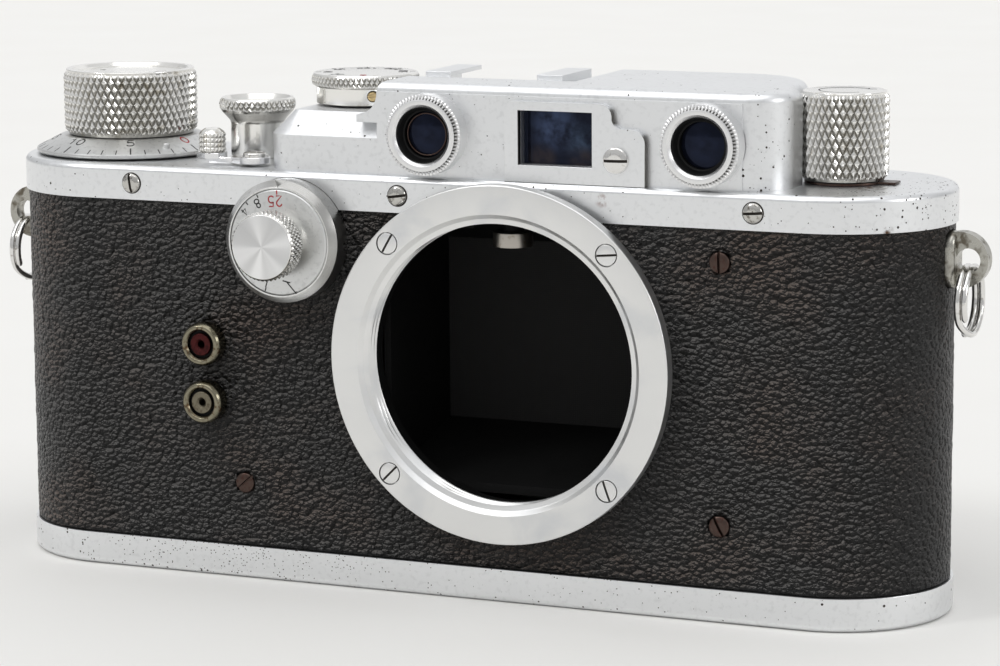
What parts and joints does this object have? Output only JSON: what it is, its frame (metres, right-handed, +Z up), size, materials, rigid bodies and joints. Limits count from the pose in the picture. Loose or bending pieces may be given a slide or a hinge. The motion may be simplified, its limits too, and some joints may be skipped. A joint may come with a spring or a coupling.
{
  "type": "rangefinder camera",
  "caption": "35 mm knob-wind rangefinder camera body with a 39 mm screw lens mount, shutter, film transport and removable base.",
  "frame": {"origin": "bottom face of the base plate, at the body's middle in width and depth", "axes": "+Z up, the front and the lens mount face -Y, +X towards the rewind knob"},
  "size_m": [0.1456, 0.0405, 0.0702],
  "materials": {
    "satin_chrome": "satin chrome plate, slightly pitted",
    "polished_steel": "polished screw heads and rings",
    "dark_screws": "darkened and rusty",
    "brass": "dull brass",
    "alloy": "cast and machined alloy",
    "black_paint": "matt black",
    "vulcanite": "black grained hard-rubber covering",
    "curtain_cloth": "rubberised black cloth",
    "glass": "coated glass"
  },
  "bodies": {
    "camera_body": {"body_shell": "alloy", "body_covering": "vulcanite", "body_screws": "dark_screws", "strap_lugs": "polished_steel", "lens_mount_collar": "black_paint", "lens_mount_ring": "satin_chrome", "lens_mount_screws": "polished_steel", "sync_rings": "brass", "sync_contacts": "brass", "slow_dial_ring": "satin_chrome", "top_plate": "satin_chrome", "top_plate_screws": "polished_steel", "finder_housing": "satin_chrome", "viewfinder_cover": "satin_chrome", "viewfinder_cover_screw": "polished_steel", "finder_glasses": "glass", "rangefinder_bezels": "satin_chrome", "eyepiece_bezels": "satin_chrome", "accessory_shoe": "satin_chrome", "accessory_shoe_screws": "polished_steel", "rangefinder_mirror": "glass", "top_bridge": "alloy", "shutter_crate": "alloy", "light_box": "black_paint", "pressure_plate": "polished_steel", "shutter_curtain": "curtain_cloth", "slow_speed_escapement": "polished_steel", "release_collar": "satin_chrome", "release_spring": "polished_steel", "lever_pivot_screw": "polished_steel"},
    "left_strap_ring": {"strap_ring_left": "polished_steel"},
    "right_strap_ring": {"strap_ring_right": "polished_steel"},
    "slow_dial": {"slow_speed_dial": "satin_chrome", "slow_speed_knob": "satin_chrome"},
    "range_arm": {"rangefinder_arm": "brass", "rangefinder_roller": "polished_steel"},
    "range_prism": {"rangefinder_prism": "glass"},
    "shutter_drum": {"curtain_drum": "alloy", "drum_gear": "brass"},
    "spring_roller_one": {"first_spring_roller": "alloy"},
    "spring_roller_two": {"second_spring_roller": "alloy"},
    "sprocket": {"film_sprocket": "alloy", "sprocket_gear": "brass"},
    "winder": {"wind_shaft": "polished_steel", "wind_knob": "satin_chrome", "take_up_spool": "black_paint"},
    "idler": {"idler_gear": "brass"},
    "frame_counter": {"frame_counter_dial": "satin_chrome"},
    "release": {"release_button": "polished_steel"},
    "clutch_lever": {"rewind_clutch_lever": "brass"},
    "speed_sleeve": {"speed_dial_sleeve": "polished_steel"},
    "speed_setting": {"speed_dial": "satin_chrome", "speed_dial_screw": "dark_screws"},
    "rewind_spindle": {"rewind_shaft": "polished_steel"},
    "rewind_grip": {"rewind_knob": "satin_chrome"},
    "diopter": {"diopter_lever": "satin_chrome"},
    "base": {"base_plate": "satin_chrome", "tripod_bush": "satin_chrome"},
    "lock_key": {"base_lock_key": "satin_chrome"},
    "key_handle": {"lock_key_handle": "satin_chrome"}
  },
  "joints": [
    {"name": "wind_turn", "type": "hinge", "parent": "camera_body", "child": "winder", "pos_m": [-0.053, 0, 0.06], "axis": [0, 0, -1], "range_deg": [0, 360]},
    {"name": "idler_turn", "type": "hinge", "parent": "camera_body", "child": "idler", "pos_m": [-0.0429, 0.00753, 0.054], "axis": [0, 0, -1], "range_deg": [-720, 0]},
    {"name": "sprocket_turn", "type": "hinge", "parent": "camera_body", "child": "sprocket", "pos_m": [-0.0328, 0, 0.05], "axis": [0, 0, -1], "range_deg": [0, 360]},
    {"name": "shutter_drum_turn", "type": "hinge", "parent": "camera_body", "child": "shutter_drum", "pos_m": [-0.016, 0, 0.05], "axis": [0, 0, -1], "range_deg": [-360, 0]},
    {"name": "spring_roller_one_turn", "type": "hinge", "parent": "camera_body", "child": "spring_roller_one", "pos_m": [0.0346, 0.00455, 0.03], "axis": [0, 0, -1], "range_deg": [-912, 0]},
    {"name": "spring_roller_two_turn", "type": "hinge", "parent": "camera_body", "child": "spring_roller_two", "pos_m": [0.0346, -0.0036, 0.03], "axis": [0, 0, -1], "range_deg": [-912, 0]},
    {"name": "frame_counter_turn", "type": "hinge", "parent": "camera_body", "child": "frame_counter", "pos_m": [-0.053, 0, 0.058], "axis": [0, 0, -1], "range_deg": [-9, 0]},
    {"name": "release_press", "type": "slide", "parent": "camera_body", "child": "release", "axis": [0, 0, -1], "range_m": [0, 0.002], "stiffness_N_per_m": 400, "springref_m": -0.001, "deforming": ["release_spring"]},
    {"name": "clutch_lever_turn", "type": "hinge", "parent": "camera_body", "child": "clutch_lever", "pos_m": [-0.0283, -0.01, 0.058], "axis": [0, 0, -1], "range_deg": [0, 35]},
    {"name": "speed_dial_lift", "type": "slide", "parent": "shutter_drum", "child": "speed_sleeve", "axis": [0, 0, 1], "range_m": [0, 0.002], "stiffness_N_per_m": 500, "springref_m": -0.001},
    {"name": "speed_dial_set", "type": "hinge", "parent": "speed_sleeve", "child": "speed_setting", "pos_m": [-0.016, 0, 0.066], "axis": [0, 0, -1], "range_deg": [0, 280]},
    {"name": "slow_dial_turn", "type": "hinge", "parent": "camera_body", "child": "slow_dial", "pos_m": [-0.02025, 0, 0.04795], "axis": [0, 1, 0], "range_deg": [0, 215]},
    {"name": "rewind_turn", "type": "hinge", "parent": "camera_body", "child": "rewind_spindle", "pos_m": [0.053, 0, 0.06], "axis": [0, 0, -1], "continuous": true},
    {"name": "rewind_lift", "type": "slide", "parent": "rewind_spindle", "child": "rewind_grip", "axis": [0, 0, 1], "range_m": [0, 0.007]},
    {"name": "diopter_turn", "type": "hinge", "parent": "camera_body", "child": "diopter", "pos_m": [0.053, 0, 0.0575], "axis": [0, 0, 1], "range_deg": [-20, 20]},
    {"name": "range_arm_turn", "type": "hinge", "parent": "camera_body", "child": "range_arm", "pos_m": [0.026, -0.007, 0.0523], "axis": [0, 0, -1], "range_deg": [0, 16], "stiffness_Nm_per_rad": 0.02, "springref_deg": -11.46},
    {"name": "range_prism_turn", "type": "hinge", "parent": "camera_body", "child": "range_prism", "pos_m": [0.0386, -0.0088, 0.06], "axis": [0, 0, -1], "range_deg": [0, 6.4]},
    {"name": "left_ring_swing", "type": "hinge", "parent": "camera_body", "child": "left_strap_ring", "pos_m": [-0.07015, 0, 0.0476], "axis": [0, 1, 0], "range_deg": [-8, 90]},
    {"name": "right_ring_swing", "type": "hinge", "parent": "camera_body", "child": "right_strap_ring", "pos_m": [0.07015, 0, 0.0476], "axis": [0, -1, 0], "range_deg": [-8, 90]},
    {"name": "base_removal", "type": "slide", "parent": "camera_body", "child": "base", "axis": [0, 0, -1], "range_m": [0, 0.025]},
    {"name": "lock_key_turn", "type": "hinge", "parent": "base", "child": "lock_key", "pos_m": [0.049, 0, 0.001], "axis": [0, 0, -1], "range_deg": [0, 180]},
    {"name": "key_handle_flip", "type": "hinge", "parent": "lock_key", "child": "key_handle", "pos_m": [0.049, -0.0006, 0.0005], "axis": [-1, 0, 0], "range_deg": [0, 90]}
  ],
  "couplings": [
    {"joint": "idler_turn", "follows": "wind_turn", "ratio": -2},
    {"joint": "sprocket_turn", "follows": "wind_turn", "ratio": 1},
    {"joint": "shutter_drum_turn", "follows": "wind_turn", "ratio": -1},
    {"joint": "spring_roller_one_turn", "follows": "wind_turn", "ratio": -2.5333},
    {"joint": "spring_roller_two_turn", "follows": "wind_turn", "ratio": -2.5333},
    {"joint": "frame_counter_turn", "follows": "wind_turn", "ratio": -0.025},
    {"joint": "range_prism_turn", "follows": "range_arm_turn", "ratio": 0.4}
  ]
}
